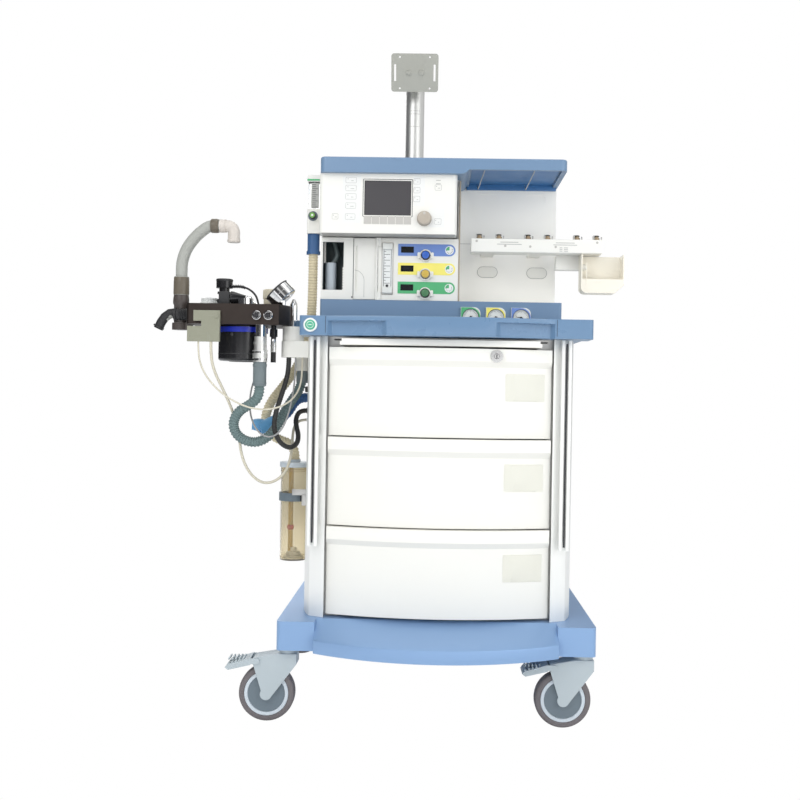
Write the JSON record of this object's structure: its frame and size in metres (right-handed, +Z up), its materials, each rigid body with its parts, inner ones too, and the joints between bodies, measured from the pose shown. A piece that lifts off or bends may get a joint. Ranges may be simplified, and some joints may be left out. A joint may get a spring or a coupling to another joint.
{
  "type": "anesthesia machine",
  "caption": "Wheeled anesthesia workstation with drawers, worktop, flow controls, display, vaporizer bar, swing-out breathing system and monitor mast.",
  "frame": {"origin": "on the floor under the middle of the bounding box", "axes": "+X to the operator's right, +Y away from the operator, towards the rear panel, +Z up"},
  "size_m": [1.1146, 0.7529, 1.5848],
  "materials": {
    "blue_paint": "satin",
    "blue_plastic": "satin",
    "white_paint": "satin",
    "white_plastic": "satin",
    "light_grey_plastic": "satin",
    "galvanised": "satin",
    "aluminium": "satin",
    "chrome": "polished",
    "plate_steel": "satin",
    "dark_block": "anodised",
    "black_plastic": "gloss",
    "screen": "gloss",
    "clear_plastic": "clear",
    "gauge": "gloss",
    "taupe_plastic": "satin",
    "knob_plastic": "satin",
    "green_plastic": "gloss",
    "cream_plastic": "satin",
    "beige_plastic": "satin",
    "arm_grey": "satin",
    "wheel_tyre": "matte",
    "grey_hose": "matte",
    "black_hose": "satin",
    "blue_hose": "matte",
    "beige_hose": "matte",
    "tube": "satin"
  },
  "bodies": {
    "cart": {"accessory_holder": "cream_plastic", "accessory_rails": "white_paint", "alcove_panel": "white_plastic", "aux_flowmeter": "white_plastic", "base_frame": "blue_paint", "beige_hose": "beige_hose", "black_hose": "black_hose", "blue_hose": "blue_hose", "cabinet_frame": "galvanised", "cabinet_sides": "white_paint", "console_strip": "blue_plastic", "display_housing": "white_plastic", "display_screen": "screen", "drawer_runners": "galvanised", "flow_panel": "white_plastic", "flow_tubes": "clear_plastic", "gas_inlets": "aluminium", "head_housing": "white_paint", "mast": "aluminium", "pivot_bracket": "white_paint", "scavenger_canister": "clear_plastic", "side_fittings": "light_grey_plastic", "small_tubes": "tube", "supply_gauges": "gauge", "top_deck": "blue_plastic", "vaporizer_bar": "white_paint", "vent_hose": "grey_hose", "ventilator_cover": "white_plastic", "worktop": "blue_plastic"},
    "breathing_system": {"block_fittings": "chrome", "breathing_block": "dark_block", "manometer": "chrome", "swing_post": "chrome"},
    "absorber_canister": {"absorber_canister": "black_plastic"},
    "apl_knob": {"apl_knob": "beige_plastic"},
    "aux_knob": {"aux_knob": "green_plastic"},
    "bag_arm": {"bag_arm": "arm_grey"},
    "brake_pedal_fl": {"brake_pedal_fl": "light_grey_plastic"},
    "brake_pedal_fr": {"brake_pedal_fr": "light_grey_plastic"},
    "display_dial": {"display_dial": "taupe_plastic"},
    "drawer_1": {"drawer_1": "white_plastic"},
    "drawer_2": {"drawer_2": "white_plastic"},
    "drawer_3": {"drawer_3": "white_plastic"},
    "drawer_lock": {"drawer_lock": "chrome"},
    "flow_knob_blue": {"flow_knob_blue": "knob_plastic"},
    "flow_knob_green": {"flow_knob_green": "knob_plastic"},
    "flow_knob_yellow": {"flow_knob_yellow": "knob_plastic"},
    "flush_button": {"flush_button": "green_plastic"},
    "fork_fl": {"fork_fl": "light_grey_plastic"},
    "fork_fr": {"fork_fr": "light_grey_plastic"},
    "fork_rl": {"fork_rl": "light_grey_plastic"},
    "fork_rr": {"fork_rr": "light_grey_plastic"},
    "mast_head": {"mast_head": "plate_steel"},
    "monitor_plate": {"monitor_plate": "plate_steel"},
    "vent_door": {"vent_door": "white_plastic"},
    "wheel_fl": {"wheel_fl": "wheel_tyre"},
    "wheel_fr": {"wheel_fr": "wheel_tyre"},
    "wheel_rl": {"wheel_rl": "wheel_tyre"},
    "wheel_rr": {"wheel_rr": "wheel_tyre"},
    "writing_tray": {"writing_tray": "white_plastic"}
  },
  "joints": [
    {"name": "drawer_1_slide", "type": "slide", "parent": "cart", "child": "drawer_1", "axis": [0, -1, 0], "range_m": [0, 0.37]},
    {"name": "drawer_2_slide", "type": "slide", "parent": "cart", "child": "drawer_2", "axis": [0, -1, 0], "range_m": [0, 0.37]},
    {"name": "drawer_3_slide", "type": "slide", "parent": "cart", "child": "drawer_3", "axis": [0, -1, 0], "range_m": [0, 0.37]},
    {"name": "lock_turn", "type": "hinge", "parent": "drawer_1", "child": "drawer_lock", "pos_m": [0.2368, -0.2535, 0.8225], "axis": [0, 1, 0], "range_deg": [0, 90]},
    {"name": "tray_slide", "type": "slide", "parent": "cart", "child": "writing_tray", "axis": [0, -1, 0], "range_m": [0, 0.24]},
    {"name": "swivel_fl", "type": "hinge", "parent": "cart", "child": "fork_fl", "pos_m": [-0.2172, -0.2405, 0.166], "axis": [0, 0, 1], "continuous": true},
    {"name": "wheel_spin_fl", "type": "hinge", "parent": "fork_fl", "child": "wheel_fl", "pos_m": [-0.2632, -0.2405, 0.0625], "axis": [0, 1, 0], "continuous": true},
    {"name": "brake_fl", "type": "hinge", "parent": "fork_fl", "child": "brake_pedal_fl", "pos_m": [-0.2832, -0.2405, 0.136], "axis": [0, 1, 0], "range_deg": [-10, 6]},
    {"name": "swivel_fr", "type": "hinge", "parent": "cart", "child": "fork_fr", "pos_m": [0.4428, -0.2405, 0.166], "axis": [0, 0, 1], "continuous": true},
    {"name": "wheel_spin_fr", "type": "hinge", "parent": "fork_fr", "child": "wheel_fr", "pos_m": [0.3968, -0.2405, 0.0625], "axis": [0, 1, 0], "continuous": true},
    {"name": "brake_fr", "type": "hinge", "parent": "fork_fr", "child": "brake_pedal_fr", "pos_m": [0.3768, -0.2405, 0.136], "axis": [0, 1, 0], "range_deg": [-10, 6]},
    {"name": "swivel_rl", "type": "hinge", "parent": "cart", "child": "fork_rl", "pos_m": [-0.2172, 0.3335, 0.166], "axis": [0, 0, 1], "continuous": true},
    {"name": "wheel_spin_rl", "type": "hinge", "parent": "fork_rl", "child": "wheel_rl", "pos_m": [-0.2632, 0.3335, 0.0625], "axis": [0, 1, 0], "continuous": true},
    {"name": "swivel_rr", "type": "hinge", "parent": "cart", "child": "fork_rr", "pos_m": [0.4428, 0.3335, 0.166], "axis": [0, 0, 1], "continuous": true},
    {"name": "wheel_spin_rr", "type": "hinge", "parent": "fork_rr", "child": "wheel_rr", "pos_m": [0.3968, 0.3335, 0.0625], "axis": [0, 1, 0], "continuous": true},
    {"name": "vent_door_hinge", "type": "hinge", "parent": "cart", "child": "vent_door", "pos_m": [-0.0462, -0.0475, 1.0385], "axis": [0, 0, 1], "range_deg": [0, 100]},
    {"name": "display_dial_turn", "type": "hinge", "parent": "cart", "child": "display_dial", "pos_m": [0.0688, -0.0985, 1.153], "axis": [0, 1, 0], "continuous": true},
    {"name": "flow_knob_blue_turn", "type": "hinge", "parent": "cart", "child": "flow_knob_blue", "pos_m": [0.0728, -0.0445, 1.0725], "axis": [0, 1, 0], "continuous": true},
    {"name": "flow_knob_yellow_turn", "type": "hinge", "parent": "cart", "child": "flow_knob_yellow", "pos_m": [0.0728, -0.0445, 1.0265], "axis": [0, 1, 0], "continuous": true},
    {"name": "flow_knob_green_turn", "type": "hinge", "parent": "cart", "child": "flow_knob_green", "pos_m": [0.0728, -0.0445, 0.9805], "axis": [0, 1, 0], "continuous": true},
    {"name": "aux_knob_turn", "type": "hinge", "parent": "cart", "child": "aux_knob", "pos_m": [-0.2052, -0.0335, 1.167], "axis": [0, 1, 0], "continuous": true},
    {"name": "flush_press", "type": "slide", "parent": "cart", "child": "flush_button", "axis": [0, 1, 0], "range_m": [0, 0.004], "stiffness_N_per_m": 500},
    {"name": "mast_swivel", "type": "hinge", "parent": "cart", "child": "mast_head", "pos_m": [0.0368, 0.1065, 1.52], "axis": [0, 0, 1], "range_deg": [-90, 90]},
    {"name": "monitor_tilt", "type": "hinge", "parent": "mast_head", "child": "monitor_plate", "pos_m": [0.0368, 0.0425, 1.546], "axis": [1, 0, 0], "range_deg": [-25, 20]},
    {"name": "system_swing", "type": "hinge", "parent": "cart", "child": "breathing_system", "pos_m": [-0.2342, -0.1335, 0.854], "axis": [0, 0, 1], "range_deg": [-25, 25], "deforming": ["vent_hose", "small_tubes"]},
    {"name": "absorber_twist", "type": "hinge", "parent": "breathing_system", "child": "absorber_canister", "pos_m": [-0.3532, -0.1335, 0.888], "axis": [0, 0, 1], "range_deg": [0, 25]},
    {"name": "bag_arm_swivel", "type": "hinge", "parent": "breathing_system", "child": "bag_arm", "pos_m": [-0.4952, -0.1535, 0.892], "axis": [0, 0, 1], "range_deg": [-60, 60]},
    {"name": "apl_turn", "type": "hinge", "parent": "breathing_system", "child": "apl_knob", "pos_m": [-0.2902, -0.1185, 0.941], "axis": [0, 0, 1], "range_deg": [0, 300]}
  ]
}
